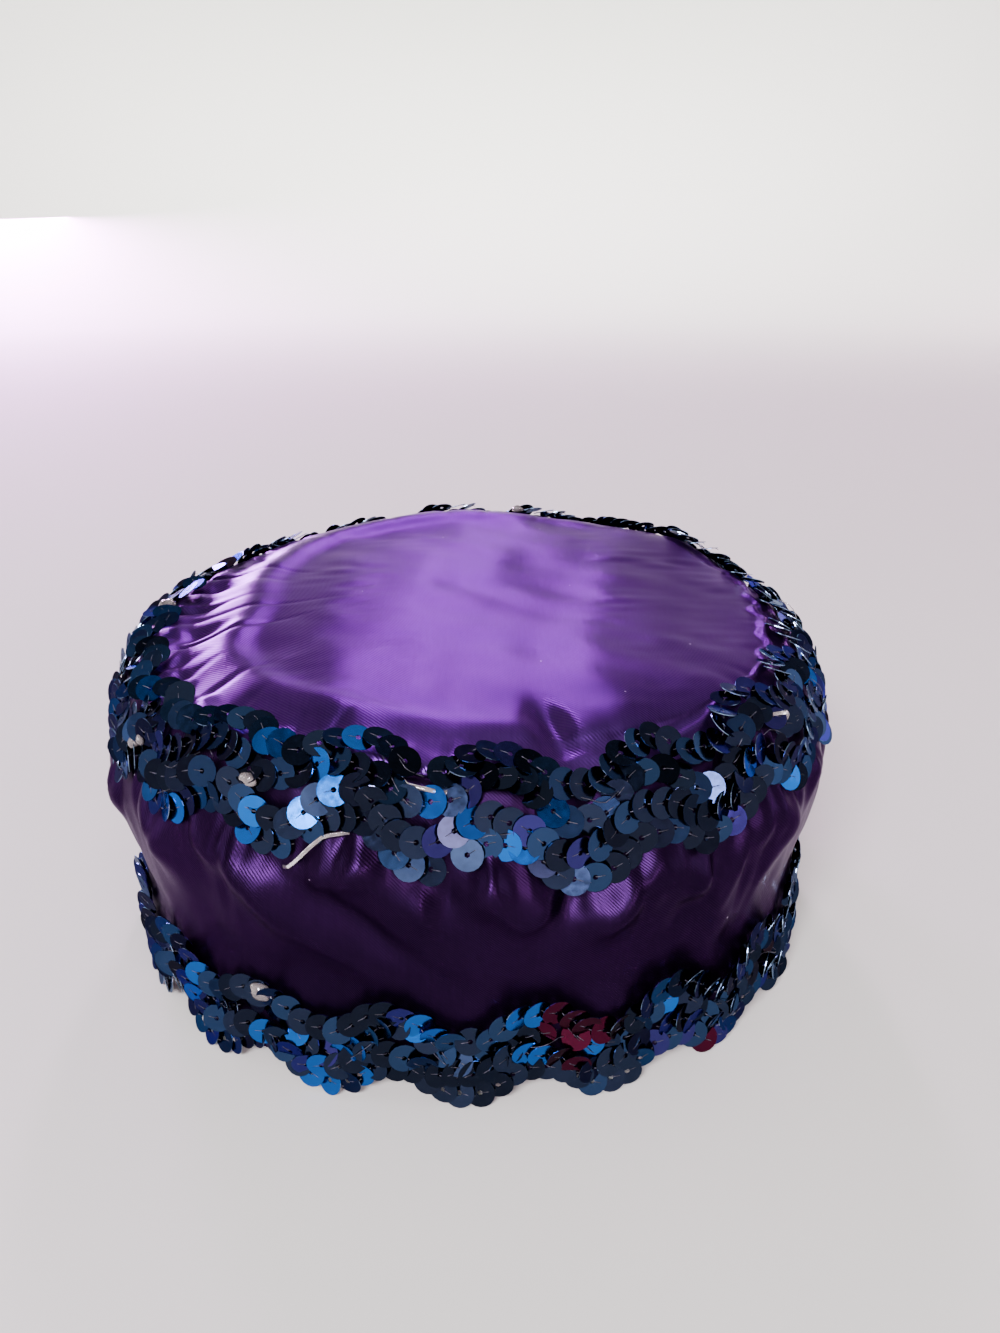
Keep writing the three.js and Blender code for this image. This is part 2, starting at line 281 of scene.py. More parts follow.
# (angle, half width in degrees, height): satin that swells out under the trim
pillows = [
    (-160, 7, 0.8), (-138, 8, 1), (-118, 6, 0.7), (-97, 7, 1), (-80, 6, 0.7), (-61, 7, 1), (-43, 6, 0.9),
    (-26, 6.5, 1.2), (-12.5, 4, 1), (-5, 2.6, 0.9), (2.5, 2.2, 1.1), (8, 2.4, 0.9), (17, 5, 1.2),
    (29, 6, 1.2), (42, 6, 1), (57, 7, 0.8), (76, 7, 1), (95, 6, 0.7), (113, 8, 1), (135, 6, 0.8),
    (155, 8, 1)]


def arcTo(angle, here, radius):
    return np.radians(turn(angle, here)) * radius


def wallRelief(angle, distance, seam):
    # how far the satin of the side wall stands out at each place
    radius = planRadius(angle)
    up = distance / seam
    total = np.zeros(up.shape)
    for at, high, low, lean, width, depth in wallFolds:
        down = (high - up) / (high - low)
        across = arcTo(at + lean * down, angle, radius) / (folds["width"] * width)
        total += depth * folds["depth"] * bump(across) * bump((down - 0.35) / 0.8)
    rng = np.random.default_rng(folds["seed"])
    below = trimEdge(topTrim, angle, seam) - distance  # below the edge of the trim that holds the satin
    for i in range(folds["gathers"]):
        at = 360 / folds["gathers"] * (i + rng.uniform(-0.35, 0.35))
        depth, width = rng.uniform(0.35, 1), rng.uniform(*folds["gatherWidths"])
        reach = rng.uniform(0.6, 1.4)
        lean = rng.uniform(-9, 9) * below / folds["gatherReach"] * 0.35
        fade = np.where(below > 0, np.exp(-((below / (folds["gatherReach"] * reach)) ** 2)), 1)
        total -= depth * folds["gatherDepth"] * bump(arcTo(at + lean, angle, radius) / width) * fade
    for at, half, depth, drop in swags:
        hang = drop * folds["swagDrop"] * np.clip(1 - (turn(at, angle) / half) ** 2, 0, 1)
        line = (below - hang) / folds["swagWidth"]
        total += depth * folds["swagDepth"] * bump(line) * (hang > 0) * smooth(0, 0.002, hang)
    total += folds["swell"] * bump((below - folds["swellDrop"]) / folds["swellReach"])
    for at, half, height in pillows:
        across = turn(at, angle) / half / 1.4
        down = (below - folds["pillowDrop"]) / folds["pillowReach"]
        total += height * folds["pillow"] * bump(across) * bump(down)
    arc = np.radians(angle) * hat["meanRadius"]
    coarse, fine = ripples(arc, distance, 0.026, 3), ripples(arc, distance * 0.6, 0.011, 4)
    total += folds["wrinkle"] * (coarse + 0.45 * fine)
    return total


def crownRelief(angle, inward, place):
    # how far the satin of the crown stands out, with inward 0 at the seam and 1 at the ridge
    radius = planRadius(angle)
    total = np.zeros(inward.shape)
    for at, reach, depth in crownPuckers:
        across = arcTo(at, angle, radius) / folds["width"]
        total -= depth * crownFolds["puckerDepth"] * bump(across) * bump((inward / reach - 0.55) / 0.6)
    rng = np.random.default_rng(crownFolds["seed"])
    for i in range(crownFolds["gathers"]):
        at = 360 / crownFolds["gathers"] * (i + rng.uniform(-0.4, 0.4))
        left = bump(turn(-80, at) / 80)
        depth, width = rng.uniform(0.3, 1), rng.uniform(*crownFolds["gatherWidths"]) * (1 + 0.6 * left)
        reach, strength = rng.uniform(0.35, 0.9) * (1 + 0.3 * left), 0.5 + 0.9 * left
        across = arcTo(at, angle, radius) / width
        fade = np.exp(-((inward / reach) ** 2))
        total -= strength * depth * crownFolds["gatherDepth"] * bump(across) * fade
    slack = np.clip((around(ridgeLine, angle) - 0.6) / 0.5, 0, 1)  # the ridge shows where the crown is slack
    high, low = bump((inward - 1.05) / 0.45), bump((inward - 0.42) / 0.5)
    total += slack * (crownFolds["ridge"] * high - crownFolds["ridgeDip"] * low)
    right = bump(turn(80, angle) / 90)
    roll = 1.1 * right + 0.6 * bump(turn(-60, angle) / 110)  # a soft roll beside the seam
    around31, around47 = np.sin(np.radians(angle) * 31), np.sin(np.radians(angle) * 47 + 1)
    wander = 0.3 + 0.42 * right + 0.05 * around31 + 0.04 * around47
    total += roll * crownFolds["roll"] * bump((inward - wander) / 0.22)
    total += crownFolds["backRise"] * bump(turn(198, angle) / 70) * bump((inward - 0.6) / 1.1)
    x, y = place[..., 0], place[..., 1]
    flat = smooth(0.4, 1.6, inward)
    total += flat * crownFolds["undulation"] * ripples(x, y * 0.45, 0.06, 5)
    brushed = smooth(0.005, -0.015, x) * smooth(-0.07, -0.05, x) + smooth(0.02, 0.035, x)
    strokes = ripples(x * 0.6 + y * 0.2, y, 0.0065, 6)
    total += flat * brushed * crownFolds["stroke"] * strokes * (1 + ripples(x, y, 0.03, 8))
    total += flat * crownFolds["ripple"] * ripples(x + 0.3 * y, y * 0.4, 0.02, 9)
    total += folds["wrinkle"] * 0.3 * ripples(x, y, 0.016, 7)
    return total


# shader effects

def weaveGroup():
    # the diagonal ribs of satin weave, with uneven threads
    group = bpy.data.node_groups.new("satinWeave", "ShaderNodeTree")
    face = group.interface
    for label, value in (("Rib Spacing", 0.0004), ("Slub", 0.4)):
        face.new_socket(label, in_out="INPUT", socket_type="NodeSocketFloat").default_value = value
    face.new_socket("Height", in_out="OUTPUT", socket_type="NodeSocketFloat")
    face.new_socket("Shade", in_out="OUTPUT", socket_type="NodeSocketFloat")
    entry, out = group.nodes.new("NodeGroupInput"), group.nodes.new("NodeGroupOutput")
    thread = node(group, "ShaderNodeUVMap", uv_map="threads")
    density = node(group, "ShaderNodeMath", operation="DIVIDE")
    density.inputs[0].default_value = 0.314  # the wave texture's own period
    link(group, entry, "Rib Spacing", density, 1)
    ribs = node(group, "ShaderNodeTexWave", wave_type="BANDS", bands_direction="DIAGONAL")
    ribs.inputs["Distortion"].default_value = 1.2
    ribs.inputs["Detail"].default_value = 1
    link(group, thread, "UV", ribs, "Vector")
    link(group, density, "Value", ribs, "Scale")
    stretch = node(group, "ShaderNodeMapping")
    stretch.inputs["Scale"].default_value = (180, 1500, 1)
    link(group, thread, "UV", stretch, "Vector")
    slubs = node(group, "ShaderNodeTexNoise")
    slubs.inputs["Scale"].default_value = 1
    slubs.inputs["Detail"].default_value = 2
    link(group, stretch, "Vector", slubs, "Vector")
    height = node(group, "ShaderNodeMix", data_type="FLOAT")
    link(group, entry, "Slub", height, "Factor")
    link(group, ribs, "Fac", height, "A")
    link(group, slubs, "Fac", height, "B")
    link(group, height, "Result", out, "Height")
    link(group, slubs, "Fac", out, "Shade")
    return group


def speckGroup():
    # sparse dots, such as lint and scuffs
    group = bpy.data.node_groups.new("specks", "ShaderNodeTree")
    face = group.interface
    for label, value in (("Spacing", 0.012), ("Size", 0.03)):
        face.new_socket(label, in_out="INPUT", socket_type="NodeSocketFloat").default_value = value
    face.new_socket("Mask", in_out="OUTPUT", socket_type="NodeSocketFloat")
    entry, out = group.nodes.new("NodeGroupInput"), group.nodes.new("NodeGroupOutput")
    coords = node(group, "ShaderNodeTexCoord")
    density = node(group, "ShaderNodeMath", operation="DIVIDE")
    density.inputs[0].default_value = 1
    link(group, entry, "Spacing", density, 1)
    cells = node(group, "ShaderNodeTexVoronoi")
    link(group, coords, "Object", cells, "Vector")
    link(group, density, "Value", cells, "Scale")
    dot = node(group, "ShaderNodeMath", operation="LESS_THAN")
    link(group, cells, "Distance", dot, 0)
    link(group, entry, "Size", dot, 1)
    link(group, dot, "Value", out, "Mask")
    return group


def newMaterial(name, **values):
    material = bpy.data.materials.new(name)
    material.use_nodes = True
    shader = material.node_tree.nodes["Principled BSDF"]
    for label, value in values.items():
        shader.inputs[label.replace("_", " ")].default_value = value
    return material, material.node_tree, shader


def ramp(tree, stops, constant=False):
    made = tree.nodes.new("ShaderNodeValToRGB")
    made.color_ramp.interpolation = "CONSTANT" if constant else "LINEAR"
    elements = made.color_ramp.elements
    while len(elements) < len(stops):
        elements.new(0.5)
    for element, (at, color) in zip(elements, stops):
        element.position = at
        element.color = (*color, 1)
    return made


weave = weaveGroup()
specks = speckGroup()
colorA, colorB, mixedColor = 6, 7, 2  # the colour sockets of a Mix node, whose names are not their own


def satinMaterial(name, values):
    material, tree, shader = newMaterial(
        name, Metallic=values["metallic"], Anisotropic=values["anisotropic"], Specular_Tint=values["edge"])
    cloth = node(tree, "ShaderNodeGroup")
    cloth.node_tree = weave
    cloth.inputs["Rib Spacing"].default_value = values["ribs"]
    cloth.inputs["Slub"].default_value = 0.35
    coords = node(tree, "ShaderNodeTexCoord")
    patches = node(tree, "ShaderNodeTexNoise")
    patches.inputs["Scale"].default_value = 28
    patches.inputs["Detail"].default_value = 3
    link(tree, coords, "Object", patches, "Vector")
    dye = ramp(tree, [(0.3, values["deep"]), (0.7, values["light"])])
    link(tree, patches, "Fac", dye, "Fac")
    threadDye = node(tree, "ShaderNodeMix", data_type="RGBA", blend_type="MULTIPLY")
    threadDye.inputs["Factor"].default_value = 0.5
    tint = ramp(tree, [(0.25, (0.6, 0.55, 0.65)), (0.75, (1, 1, 1))])
    link(tree, cloth, "Shade", tint, "Fac")
    link(tree, dye, "Color", threadDye, colorA)
    link(tree, tint, "Color", threadDye, colorB)
    lint = node(tree, "ShaderNodeGroup")
    lint.node_tree = specks
    lint.inputs["Spacing"].default_value = 0.011
    lint.inputs["Size"].default_value = 0.022
    dusty = node(tree, "ShaderNodeMix", data_type="RGBA")
    link(tree, lint, "Mask", dusty, "Factor")
    link(tree, threadDye, mixedColor, dusty, colorA)
    dusty.inputs[colorB].default_value = (0.62, 0.55, 0.66, 1)
    link(tree, dusty, mixedColor, shader, "Base Color")
    gloss = node(tree, "ShaderNodeMapRange")
    gloss.inputs["To Min"].default_value = values["roughness"] - 0.05
    gloss.inputs["To Max"].default_value = values["roughness"] + 0.07
    link(tree, patches, "Fac", gloss, "Value")
    link(tree, gloss, "Result", shader, "Roughness")
    fabric = node(tree, "ShaderNodeBump")
    fabric.inputs["Strength"].default_value = values["relief"]
    fabric.inputs["Distance"].default_value = 0.00006
    link(tree, cloth, "Height", fabric, "Height")
    link(tree, fabric, "Normal", shader, "Normal")
    grain = node(tree, "ShaderNodeTangent", direction_type="UV_MAP", uv_map="threads")
    link(tree, grain, "Tangent", shader, "Tangent")
    return material


crownSatin = satinMaterial("crownSatin", {
    "deep": (0.042, 0.013, 0.092), "light": (0.066, 0.018, 0.135), "edge": (0.49, 0.41, 0.56, 1),
    "metallic": 0.95, "roughness": 0.3, "anisotropic": 0.68, "ribs": 0.0004, "relief": 0.7})
# the side wall has the crown's satin with its colour painted five to six times darker: painted shade that
# keeps the lower wall near black
wallSatinPaintedShade = satinMaterial("wallSatinPaintedShade", {
    "deep": (0.007, 0.0018, 0.0135), "light": (0.0135, 0.003, 0.024), "edge": (0.53, 0.46, 0.57, 1),
    "metallic": 0.95, "roughness": 0.32, "anisotropic": 0.3, "ribs": 0.0003, "relief": 0.5})


def filmMaterial():
    # metallised film: each sequin has its own tone, but the azure ones are painted glints and the maroon
    # ones a painted reflection of something red; the pale cut rim is partly the film's edge and partly a
    # painted rim highlight
    material, tree, shader = newMaterial("sequinFilm", Coat_Weight=0.07, Coat_Roughness=0.1, Metallic=1.0,
                                         Specular_Tint=(0.25, 0.31, 0.44, 1))
    toneAndPaintedReflection = node(tree, "ShaderNodeAttribute", attribute_name="toneAndPaintedReflection")
    rim = node(tree, "ShaderNodeAttribute", attribute_name="rim")
    # 0 to 0.5 are navies; the azure stop at 0.7 is a painted glint and the maroon stop at 0.9 a painted
    # reflection
    film = ramp(tree, [
        (0, (0.005, 0.008, 0.018)), (0.25, (0.011, 0.018, 0.04)), (0.5, (0.014, 0.033, 0.082)),
        (0.7, (0.006, 0.085, 0.33)), (0.8, (0.022, 0.02, 0.11)), (0.9, (0.045, 0.0015, 0.014))], True)
    link(tree, toneAndPaintedReflection, "Fac", film, "Fac")
    # the side faces of each disc take a pale colour: partly the cut edge of the film, partly a painted rim
    # highlight
    edged = node(tree, "ShaderNodeMix", data_type="RGBA")
    link(tree, rim, "Fac", edged, "Factor")
    link(tree, film, "Color", edged, colorA)
    edged.inputs[colorB].default_value = (0.14, 0.21, 0.31, 1)
    link(tree, edged, mixedColor, shader, "Base Color")
    coords = node(tree, "ShaderNodeTexCoord")
    scuffs = node(tree, "ShaderNodeTexNoise")
    scuffs.inputs["Scale"].default_value = 900
    scuffs.inputs["Detail"].default_value = 4
    link(tree, coords, "Object", scuffs, "Vector")
    gloss = node(tree, "ShaderNodeMapRange")
    gloss.inputs["To Min"].default_value = 0.08
    gloss.inputs["To Max"].default_value = 0.28
    link(tree, scuffs, "Fac", gloss, "Value")
    link(tree, gloss, "Result", shader, "Roughness")
    wavy = node(tree, "ShaderNodeBump")
    wavy.inputs["Strength"].default_value = 0.12
    wavy.inputs["Distance"].default_value = 0.0002
    buckle = node(tree, "ShaderNodeTexNoise")
    buckle.inputs["Scale"].default_value = 260
    link(tree, coords, "Object", buckle, "Vector")
    link(tree, buckle, "Fac", wavy, "Height")
    link(tree, wavy, "Normal", shader, "Normal")
    return material


def nylonMaterial():
    material, tree, shader = newMaterial("clearThread", Roughness=0.45, Specular_IOR_Level=0.35)
    coords = node(tree, "ShaderNodeTexCoord")
    twist = node(tree, "ShaderNodeTexNoise")
    twist.inputs["Scale"].default_value = 1400
    link(tree, coords, "Object", twist, "Vector")
    shade = ramp(tree, [(0.45, (0.004, 0.004, 0.008)), (0.75, (0.08, 0.08, 0.11))])
    link(tree, twist, "Fac", shade, "Fac")
    link(tree, shade, "Color", shader, "Base Color")
    return material


def glueMaterial():
    material, tree, shader = newMaterial("clearGlue", Transmission_Weight=0.7, IOR=1.48, Roughness=0.08)
    coords = node(tree, "ShaderNodeTexCoord")
    cloud = node(tree, "ShaderNodeTexNoise")
    cloud.inputs["Scale"].default_value = 420
    link(tree, coords, "Object", cloud, "Vector")
    shade = ramp(tree, [(0.3, (0.16, 0.145, 0.15)), (0.7, (0.46, 0.42, 0.38))])
    link(tree, cloud, "Fac", shade, "Fac")
    link(tree, shade, "Color", shader, "Base Color")
    return material


film = filmMaterial()
clearThread = nylonMaterial()
clearGlue = glueMaterial()
print("materials made")


# the satin: one grid of the whole section, cut at the seam into the side wall and the crown

grid = {
    "columns": 480,
    "wallRows": 84,
    "bevelRows": 26,
    "innerRows": [12, 18, 14],
    "insideRows": 16,
    "underStep": 6,
    "domeDrop": 0.26,
    "threadRadius": 0.0845,
}
sewn = {"dip": 0.0011, "dipWidth": 0.0011, "blend": 0.003}


def satinGrid():
    angle = np.arange(grid["columns"]) * 360 / grid["columns"]
    wallT = np.linspace(0, seamKnot, grid["wallRows"])
    bevelT = np.linspace(seamKnot, ridgeKnot, grid["bevelRows"])[1:]
    rest = [np.linspace(ridgeKnot + k, ridgeKnot + k + 1, n)[1:] for k, n in enumerate(grid["innerRows"])]
    t = np.concatenate([wallT, bevelT, *rest])
    place, normal, distance = section(angle, t)
    a = angle[:, None]
    seamRow = grid["wallRows"] - 1
    ridgeRow = seamRow + grid["bevelRows"] - 1
    seam, ridge = distance[:, seamRow:seamRow + 1], distance[:, ridgeRow:ridgeRow + 1]
    toEdge = place[..., 0] / place[:, ridgeRow:ridgeRow + 1, 0]
    dome = hat["seamHeight"] + crownRise * (1 - grid["domeDrop"] * toEdge ** 2)
    # a flat dome, with no point in the middle
    place[..., 1] = mix(place[..., 1], dome, smooth(1, 0.6, toEdge) * (t > ridgeKnot))
    spot = toSpace(a, place)
    onWall = distance <= seam
    inward = (distance - seam) / (ridge - seam)
    lift = np.where(onWall, wallRelief(a, distance, seam), crownRelief(a, inward, spot))
    blendIn = smooth(0, sewn["blend"], np.abs(distance - seam))  # both sides meet in the sewn dip
    lift = lift * blendIn - sewn["dip"] * np.exp(-(((distance - seam) / sewn["dipWidth"]) ** 2))
    outer = toSpace(a, place + normal * lift[..., None])
    inner = toSpace(a, place + normal * (lift * 0.5 - hat["cloth"])[..., None])
    return angle, distance, seamRow, outer, inner


def ringFaces(count, rings, flip=False):
    faces = []
    for r in range(rings - 1):
        for i in range(count):
            j = (i + 1) % count
            quad = [r * count + i, r * count + j, (r + 1) * count + j, (r + 1) * count + i]
            faces.append(quad[::-1] if flip else quad)
    return faces


def threadMap(piece, u, v):
    # which way the threads run: u along the shine, v across it
    layer = piece.data.uv_layers.new(name="threads")
    index = np.empty(len(piece.data.loops), int)
    piece.data.loops.foreach_get("vertex_index", index)
    layer.data.foreach_set("uv", np.stack([u[index], v[index]], -1).astype(np.float32).ravel())


def wallPiece(angle, distance, seamRow, outer, inner):
    outside = range(seamRow + 1)
    inside = np.linspace(seamRow, 0, grid["insideRows"]).astype(int)
    rings = [outer[:, r] for r in outside] + [inner[:, r] for r in inside]
    points = np.concatenate(rings)
    count = len(angle)
    last = (len(rings) - 1) * count
    faces = ringFaces(count, len(rings))
    faces += [[last + i, last + (i + 1) % count, (i + 1) % count, i] for i in range(count)]
    piece = newPiece("satinSideWall", points, faces, wallSatinPaintedShade)
    arc, loop = np.radians(angle) * grid["threadRadius"], 2 * math.pi * grid["threadRadius"]
    along = np.concatenate([distance[:, r] for r in (*outside, *inside)])
    across = np.tile(np.where(angle > 180, arc - loop, arc), len(rings))
    threadMap(piece, along, across)
    return piece


def crownPiece(angle, seamRow, outer, inner):
    rows = list(range(seamRow, outer.shape[1] - 1))
    under = rows[::grid["underStep"]]
    rings = [inner[:, r] for r in under[::-1]] + [outer[:, r] for r in rows]
    count = len(angle)
    middle = rings[-1].mean(0)[None]
    points = np.concatenate([*rings, middle, middle - [[0, 0, hat["cloth"]]]])
    faces = ringFaces(count, len(rings))
    top, bottom, lastRing = len(rings) * count, len(rings) * count + 1, (len(rings) - 1) * count
    for i in range(count):
        j = (i + 1) % count
        faces.append([lastRing + i, lastRing + j, top])
        faces.append([j, i, bottom])
    piece = newPiece("satinCrown", points, faces, crownSatin)
    threadMap(piece, points[:, 1], points[:, 0])
    return piece


angle, distance, seamRow, outer, inner = satinGrid()
sideWall = wallPiece(angle, distance, seamRow, outer, inner)
seat(sideWall, "satin", "side_wall")
crown = crownPiece(angle, seamRow, outer, inner)
seat(crown, "satin", "crown")
print("satin made:", len(sideWall.data.polygons), "and", len(crown.data.polygons), "faces")


# the sequin trims: chains of sequins laid out along the waves, then dressed by Geometry Nodes

sequin = {
    "diameter": 0.006,
    "hole": 0.0011,
    "film": 0.00014,
    "pitch": 0.0037,
    "missing": 0.03,
    "lift": 0.0012,
    "rowLift": 0.0006,
    "tilt": 15,
    "tiltSpread": 10,
    "roll": 4,
    "rollSpread": 14,
    "drift": 0.0012,
    "stray": 0.09,
    "lowMargin": 0.0031,
    "highMargin": 0.0022,
    "threadWidth": 0.00016,
    "threadReach": 0.515,
}


def onSatin(at, distanceAt):
    # the smooth satin with its normal, at each angle and the distance from the hem that distanceAt gives
    t = np.linspace(0, ridgeKnot, 240)
    place, normal, distance = section(at, t)
    along = distanceAt(distance[:, np.searchsorted(t, seamKnot)])
    held = np.clip(along, 0, None)

    def readOff(values):
        read = [[np.interp(held[k], distance[k], values[k, :, c]) for k in range(len(at))] for c in (0, 1)]
        return np.stack(read, -1)

    place, normal = readOff(place), readOff(normal)
    normal /= np.linalg.norm(normal, axis=-1, keepdims=True)
    place[:, 1] += np.minimum(along, 0)  # below the hem it drops straight
    return place, normal


def trimWidth(trim, at):
    return trim["width"] * (1 - trim["backNarrowing"] * bump(turn(194, at) / 70))


def chain(trim, row, rng):
    # one row of sequins round the hat: places, facings and directions, a pitch apart
    at = np.arange(0, 360, 0.5)
    share = (row + 0.5) / trim["rows"]
    depth, wander = rng.uniform(-0.5, 0.6), rng.uniform(0, 100)

    def along(seam):
        wave = -depth * trimWaves["height"] * trimWave(at + rng.uniform(-2, 2), trim["tip"])
        arc = np.radians(at) * hat["meanRadius"] + wander
        drift = sequin["drift"] * ripples(arc, np.zeros(at.shape), 0.022, trim["seed"] + row)
        width = trimWidth(trim, at)
        inside = np.clip(share * width + drift, sequin["lowMargin"], width - sequin["highMargin"])
        return trimEdge(trim, at, seam) + inside + wave * (0 < row < trim["rows"] - 1)

    odd = row % 2  # odd rows overlap the other way and stand over their neighbours
    place, normal = onSatin(at, along)
    points = toSpace(at, place + normal * (sequin["lift"] + sequin["rowLift"] * odd))
    facing = toSpace(at, normal)
    loop = np.concatenate([points, points[:1]])
    steps = np.concatenate([[0], np.cumsum(np.linalg.norm(np.diff(loop, axis=0), axis=1))])
    count = round(steps[-1] / sequin["pitch"])
    start = rng.uniform(0, 1)
    stray = rng.uniform(-sequin["stray"], sequin["stray"], count)
    stops = (np.arange(count) + start + stray) * steps[-1] / count
    stops %= steps[-1]
    stops.sort()

    def sample(values):
        closed = np.concatenate([values, values[:1]])
        return np.stack([np.interp(stops, steps, closed[:, c]) for c in range(3)], -1)

    where, out = sample(points), sample(facing)
    ahead = (np.roll(where, -1, 0) - np.roll(where, 1, 0)) * (1 - 2 * odd)
    return where, out, ahead / np.linalg.norm(ahead, axis=1, keepdims=True)


def tonesAndPaintedReflections(trim, where, rng):
    # the tone of each sequin, in runs of like colour: 0 to 0.7 navies, then azure (painted glints), violet,
    # and maroon (a painted reflection of something red)
    angle = np.degrees(np.arctan2(where[:, 0], -where[:, 1]))
    arc = np.radians(angle) * hat["meanRadius"]
    chance = ripples(arc, where[:, 2], 0.03, trim["seed"]) + 0.9 * rng.normal(size=len(where))
    chance = np.argsort(np.argsort(chance)) / len(where)
    toneAndPaintedReflection = rng.uniform(0, 0.7, len(where))
    limit = np.zeros(len(where))
    # 0.95 maroon is a painted reflection and 0.75 azure a painted glint, laid where the shares put them
    for value, rows in ((0.95, trim["maroon"]), (0.85, trim["violet"]), (0.75, trim["azure"])):
        share = around(rows, angle)
        toneAndPaintedReflection = np.where((chance >= limit) & (chance < limit + share), value, toneAndPaintedReflection)
        limit += share
    return toneAndPaintedReflection


def pointMesh(name, where, toneAndPaintedReflection, **vectors):
    mesh = bpy.data.meshes.new(name)
    mesh.from_pydata(where.tolist(), [], [])
    mesh.attributes.new("toneAndPaintedReflection", "FLOAT", "POINT").data.foreach_set("value", toneAndPaintedReflection.astype(np.float32))
    for key, values in vectors.items():
        layer = mesh.attributes.new(key, "FLOAT_VECTOR", "POINT")
        layer.data.foreach_set("vector", np.asarray(values, np.float32).ravel())
    holder = bpy.data.objects.new(name, mesh)
    bpy.context.collection.objects.link(holder)
    return holder


def newTree(name, sockets):
    tree = bpy.data.node_groups.new(name, "GeometryNodeTree")
    tree.interface.new_socket("Geometry", in_out="INPUT", socket_type="NodeSocketGeometry")
    for label, kind, value in sockets:
        made = tree.interface.new_socket(label, in_out="INPUT", socket_type="NodeSocket" + kind)
        if value is not None:
            made.default_value = value
    tree.interface.new_socket("Geometry", in_out="OUTPUT", socket_type="NodeSocketGeometry")
    return tree, tree.nodes.new("NodeGroupInput"), tree.nodes.new("NodeGroupOutput")


def sequinTurn(tree, entry):
    # each sequin faces out of the satin, tilted up at one side, and each by its own amount
    facing = node(tree, "GeometryNodeInputNamedAttribute", data_type="FLOAT_VECTOR")
    facing.inputs["Name"].default_value = "facing"
    ahead = node(tree, "GeometryNodeInputNamedAttribute", data_type="FLOAT_VECTOR")
    ahead.inputs["Name"].default_value = "ahead"
    axes = node(tree, "FunctionNodeAxesToRotation", primary_axis="Z", secondary_axis="X")
    link(tree, facing, "Attribute", axes, "Primary Axis")
    link(tree, ahead, "Attribute", axes, "Secondary Axis")
    spread = node(tree, "FunctionNodeRandomValue", data_type="FLOAT_VECTOR")
    spread.inputs[0].default_value = (-1, -1, -1)
    spread.inputs[1].default_value = (1, 1, 1)
    link(tree, entry, "Seed", spread, "Seed")
    amount = node(tree, "ShaderNodeCombineXYZ")
    link(tree, entry, "Roll Spread", amount, "X")
    link(tree, entry, "Tilt Spread", amount, "Y")
    amount.inputs["Z"].default_value = 180
    centre = node(tree, "ShaderNodeCombineXYZ")
    link(tree, entry, "Roll", centre, "X")
    link(tree, entry, "Tilt", centre, "Y")
    total = node(tree, "ShaderNodeVectorMath", operation="MULTIPLY_ADD")
    tree.links.new(spread.outputs[0], total.inputs[0])
    tree.links.new(amount.outputs[0], total.inputs[1])
    tree.links.new(centre.outputs[0], total.inputs[2])
    radians = node(tree, "ShaderNodeVectorMath", operation="SCALE")
    radians.inputs["Scale"].default_value = -math.pi / 180
    tree.links.new(total.outputs[0], radians.inputs[0])
    flat = node(tree, "ShaderNodeVectorMath", operation="MULTIPLY")
    flat.inputs[1].default_value = (1, 1, 0)
    tree.links.new(radians.outputs[0], flat.inputs[0])
    euler = node(tree, "FunctionNodeEulerToRotation")
    tree.links.new(flat.outputs[0], euler.inputs[0])
    both = node(tree, "FunctionNodeRotateRotation", rotation_space="LOCAL")
    tree.links.new(axes.outputs[0], both.inputs[0])
    tree.links.new(euler.outputs[0], both.inputs[1])
    return both


turnSockets = [("Tilt", "Float", sequin["tilt"]), ("Tilt Spread", "Float", sequin["tiltSpread"]),
               ("Roll", "Float", sequin["roll"]), ("Roll Spread", "Float", sequin["rollSpread"]),
               ("Seed", "Int", 1), ("Material", "Material", None)]


def sequinTree():
    tree, entry, out = newTree("sequins", [("Diameter", "Float", 0.006), ("Hole", "Float", 0.001),
                                           ("Film", "Float", 0.0002), *turnSockets])
    circles = node(tree, "GeometryNodeJoinGeometry")
    for label, sides in (("Diameter", 18), ("Hole", 6)):
        half = node(tree, "ShaderNodeMath", operation="MULTIPLY")
        half.inputs[1].default_value = 0.5
        link(tree, entry, label, half, 0)
        circle = node(tree, "GeometryNodeCurvePrimitiveCircle")
        circle.inputs["Resolution"].default_value = sides
        tree.links.new(half.outputs[0], circle.inputs["Radius"])
        link(tree, circle, "Curve", circles, "Geometry")
    disc = node(tree, "GeometryNodeFillCurve")
    link(tree, circles, "Geometry", disc, 0)
    thick = node(tree, "GeometryNodeExtrudeMesh")
    thick.inputs["Individual"].default_value = False
    link(tree, disc, "Mesh", thick, "Mesh")
    link(tree, entry, "Film", thick, "Offset Scale")
    rim = node(tree, "GeometryNodeStoreNamedAttribute", data_type="FLOAT", domain="FACE")
    rim.inputs["Name"].default_value = "rim"
    link(tree, thick, "Mesh", rim, "Geometry")
    link(tree, thick, "Side", rim, "Value")
    back = node(tree, "GeometryNodeFlipFaces")
    link(tree, disc, "Mesh", back, "Mesh")
    whole = node(tree, "GeometryNodeJoinGeometry")
    link(tree, back, "Mesh", whole, "Geometry")
    link(tree, rim, "Geometry", whole, "Geometry")
    sewn = node(tree, "GeometryNodeMergeByDistance")
    sewn.inputs["Distance"].default_value = 0.00001
    link(tree, whole, "Geometry", sewn, "Geometry")
    copies = node(tree, "GeometryNodeInstanceOnPoints")
    link(tree, entry, "Geometry", copies, "Points")
    link(tree, sewn, "Geometry", copies, "Instance")
    link(tree, sequinTurn(tree, entry), "Rotation", copies, "Rotation")
    real = node(tree, "GeometryNodeRealizeInstances")
    link(tree, copies, "Instances", real, "Geometry")
    coat = node(tree, "GeometryNodeSetMaterial")
    link(tree, real, "Geometry", coat, "Geometry")
    link(tree, entry, "Material", coat, "Material")
    link(tree, coat, "Geometry", out, "Geometry")
    return tree


